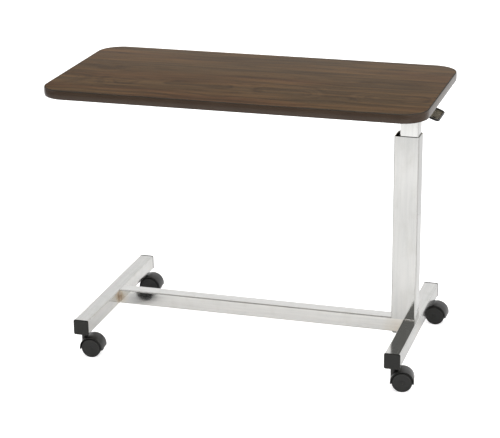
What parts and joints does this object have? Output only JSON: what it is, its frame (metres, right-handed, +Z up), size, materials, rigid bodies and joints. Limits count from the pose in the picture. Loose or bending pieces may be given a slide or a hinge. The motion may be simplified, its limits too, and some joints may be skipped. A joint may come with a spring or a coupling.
{
  "type": "overbed table",
  "caption": "Height-adjustable overbed table: woodgrain top cantilevered on a telescoping column over an H-shaped tube base with twin-wheel casters and a lift paddle.",
  "frame": {"origin": "on the floor, midway along and across the table top", "axes": "+Z up; +X along the length of the top towards the column; +Y across the top, away from the open front"},
  "size_m": [0.762, 0.391, 0.553],
  "materials": {
    "walnut_laminate": "woodgrain high-pressure laminate, satin",
    "edge_vinyl": "dark brown moulded vinyl edge, satin",
    "particleboard": "raw particleboard",
    "backer_sheet": "resin-faced paper balancing sheet, matt",
    "chrome_plate": "satin chrome plate over drawn steel tube",
    "zinc_steel": "bright zinc-plated steel",
    "black_steel": "black powder coat",
    "hard_steel": "ground hardened steel",
    "spring_steel": "blued spring steel",
    "acetal": "natural acetal",
    "bush_plastic": "dark grey nylon",
    "black_plastic": "moulded black polypropylene, fine texture",
    "caster_nylon": "black nylon, satin",
    "wheel_tread": "hard black nylon wheel, satin"
  },
  "bodies": {
    "base": {"lock_rod": "hard_steel", "spring_strip": "spring_steel", "strip_anchor_clip": "zinc_steel", "strip_anchor_screw": "zinc_steel", "outer_column": "chrome_plate", "column_guide_bush": "bush_plastic", "column_foot_block": "hard_steel", "base_bolts": "zinc_steel", "crossbar": "chrome_plate", "left_foot": "chrome_plate", "right_foot": "chrome_plate", "base_welds": "chrome_plate", "caster_stem_nuts": "zinc_steel", "caster_stems": "zinc_steel", "end_cap_front_left": "black_plastic", "end_cap_front_right": "black_plastic", "end_cap_rear_left": "black_plastic", "end_cap_rear_right": "black_plastic"},
    "mast": {"mast_tube": "chrome_plate", "mast_head_plate": "black_steel", "support_angle_front": "black_steel", "support_angle_rear": "black_steel", "cross_strap": "black_steel", "top_screws": "zinc_steel", "top_core": "particleboard", "top_laminate": "walnut_laminate", "top_backer": "backer_sheet", "edge_band": "edge_vinyl", "clutch_housing": "acetal", "housing_rivets": "zinc_steel", "clutch_spring": "spring_steel", "release_rod_guide": "acetal", "release_rod_spring": "spring_steel", "drum_pin": "hard_steel", "lever_pivot_pin": "zinc_steel"},
    "lever": {"lever_arm": "zinc_steel", "lever_paddle": "black_plastic", "paddle_rivets": "zinc_steel"},
    "push_rod": {"release_rod": "hard_steel"},
    "clutch": {"clutch_plates": "hard_steel"},
    "drum": {"spring_drum": "acetal", "spring_coil": "spring_steel"},
    "caster_front_left": {"caster_hood_front_left": "caster_nylon", "caster_axle_front_left": "hard_steel"},
    "wheel_near_front_left": {"wheel_near_front_left": "wheel_tread"},
    "wheel_far_front_left": {"wheel_far_front_left": "wheel_tread"},
    "caster_front_right": {"caster_hood_front_right": "caster_nylon", "caster_axle_front_right": "hard_steel"},
    "wheel_near_front_right": {"wheel_near_front_right": "wheel_tread"},
    "wheel_far_front_right": {"wheel_far_front_right": "wheel_tread"},
    "caster_rear_left": {"caster_hood_rear_left": "caster_nylon", "caster_axle_rear_left": "hard_steel"},
    "wheel_near_rear_left": {"wheel_near_rear_left": "wheel_tread"},
    "wheel_far_rear_left": {"wheel_far_rear_left": "wheel_tread"},
    "caster_rear_right": {"caster_hood_rear_right": "caster_nylon", "caster_axle_rear_right": "hard_steel"},
    "wheel_near_rear_right": {"wheel_near_rear_right": "wheel_tread"},
    "wheel_far_rear_right": {"wheel_far_rear_right": "wheel_tread"}
  },
  "joints": [
    {"name": "height_slide", "type": "slide", "parent": "base", "child": "mast", "axis": [0, 0, 1], "range_m": [0, 0.254], "deforming": ["spring_strip"]},
    {"name": "lever_lift", "type": "hinge", "parent": "mast", "child": "lever", "pos_m": [0.33, 0, 0.514], "axis": [0, -1, 0], "range_deg": [0, 8]},
    {"name": "release_rod_push", "type": "slide", "parent": "mast", "child": "push_rod", "axis": [0, 0, -1], "range_m": [0, 0.00307], "stiffness_N_per_m": 400, "springref_m": -0.003, "deforming": ["release_rod_spring"]},
    {"name": "clutch_tilt", "type": "hinge", "parent": "mast", "child": "clutch", "pos_m": [0.333, 0, 0.1436], "axis": [0, -1, 0], "range_deg": [0, 7.3], "deforming": ["clutch_spring"]},
    {"name": "drum_spin", "type": "hinge", "parent": "mast", "child": "drum", "pos_m": [0.3035, 0, 0.121], "axis": [0, -1, 0], "range_deg": [0, 1350]},
    {"name": "swivel_front_left", "type": "hinge", "parent": "base", "child": "caster_front_left", "pos_m": [-0.307, -0.176, 0.043], "axis": [0, 0, 1], "continuous": true},
    {"name": "roll_near_front_left", "type": "hinge", "parent": "caster_front_left", "child": "wheel_near_front_left", "pos_m": [-0.29053, -0.17499, 0.02], "axis": [-0.061, 0.9981, 0], "continuous": true},
    {"name": "roll_far_front_left", "type": "hinge", "parent": "caster_front_left", "child": "wheel_far_front_left", "pos_m": [-0.29053, -0.17499, 0.02], "axis": [-0.061, 0.9981, 0], "continuous": true},
    {"name": "swivel_front_right", "type": "hinge", "parent": "base", "child": "caster_front_right", "pos_m": [0.3305, -0.176, 0.043], "axis": [0, 0, 1], "continuous": true},
    {"name": "roll_near_front_right", "type": "hinge", "parent": "caster_front_right", "child": "wheel_near_front_right", "pos_m": [0.34677, -0.17328, 0.02], "axis": [-0.165, 0.9863, 0], "continuous": true},
    {"name": "roll_far_front_right", "type": "hinge", "parent": "caster_front_right", "child": "wheel_far_front_right", "pos_m": [0.34677, -0.17328, 0.02], "axis": [-0.165, 0.9863, 0], "continuous": true},
    {"name": "swivel_rear_left", "type": "hinge", "parent": "base", "child": "caster_rear_left", "pos_m": [-0.307, 0.176, 0.043], "axis": [0, 0, 1], "continuous": true},
    {"name": "roll_near_rear_left", "type": "hinge", "parent": "caster_rear_left", "child": "wheel_near_rear_left", "pos_m": [-0.29051, 0.17658, 0.02], "axis": [-0.0349, 0.9994, 0], "continuous": true},
    {"name": "roll_far_rear_left", "type": "hinge", "parent": "caster_rear_left", "child": "wheel_far_rear_left", "pos_m": [-0.29051, 0.17658, 0.02], "axis": [-0.0349, 0.9994, 0], "continuous": true},
    {"name": "swivel_rear_right", "type": "hinge", "parent": "base", "child": "caster_rear_right", "pos_m": [0.3305, 0.176, 0.043], "axis": [0, 0, 1], "continuous": true},
    {"name": "roll_near_rear_right", "type": "hinge", "parent": "caster_rear_right", "child": "wheel_near_rear_right", "pos_m": [0.34698, 0.17514, 0.02], "axis": [0.0523, 0.9986, 0], "continuous": true},
    {"name": "roll_far_rear_right", "type": "hinge", "parent": "caster_rear_right", "child": "wheel_far_rear_right", "pos_m": [0.34698, 0.17514, 0.02], "axis": [0.0523, 0.9986, 0], "continuous": true}
  ],
  "couplings": [
    {"joint": "lever_lift", "follows": "release_rod_push", "rad_per_m": 45.455},
    {"joint": "clutch_tilt", "follows": "release_rod_push", "rad_per_m": 40},
    {"joint": "drum_spin", "follows": "height_slide", "rad_per_m": 92.593}
  ]
}
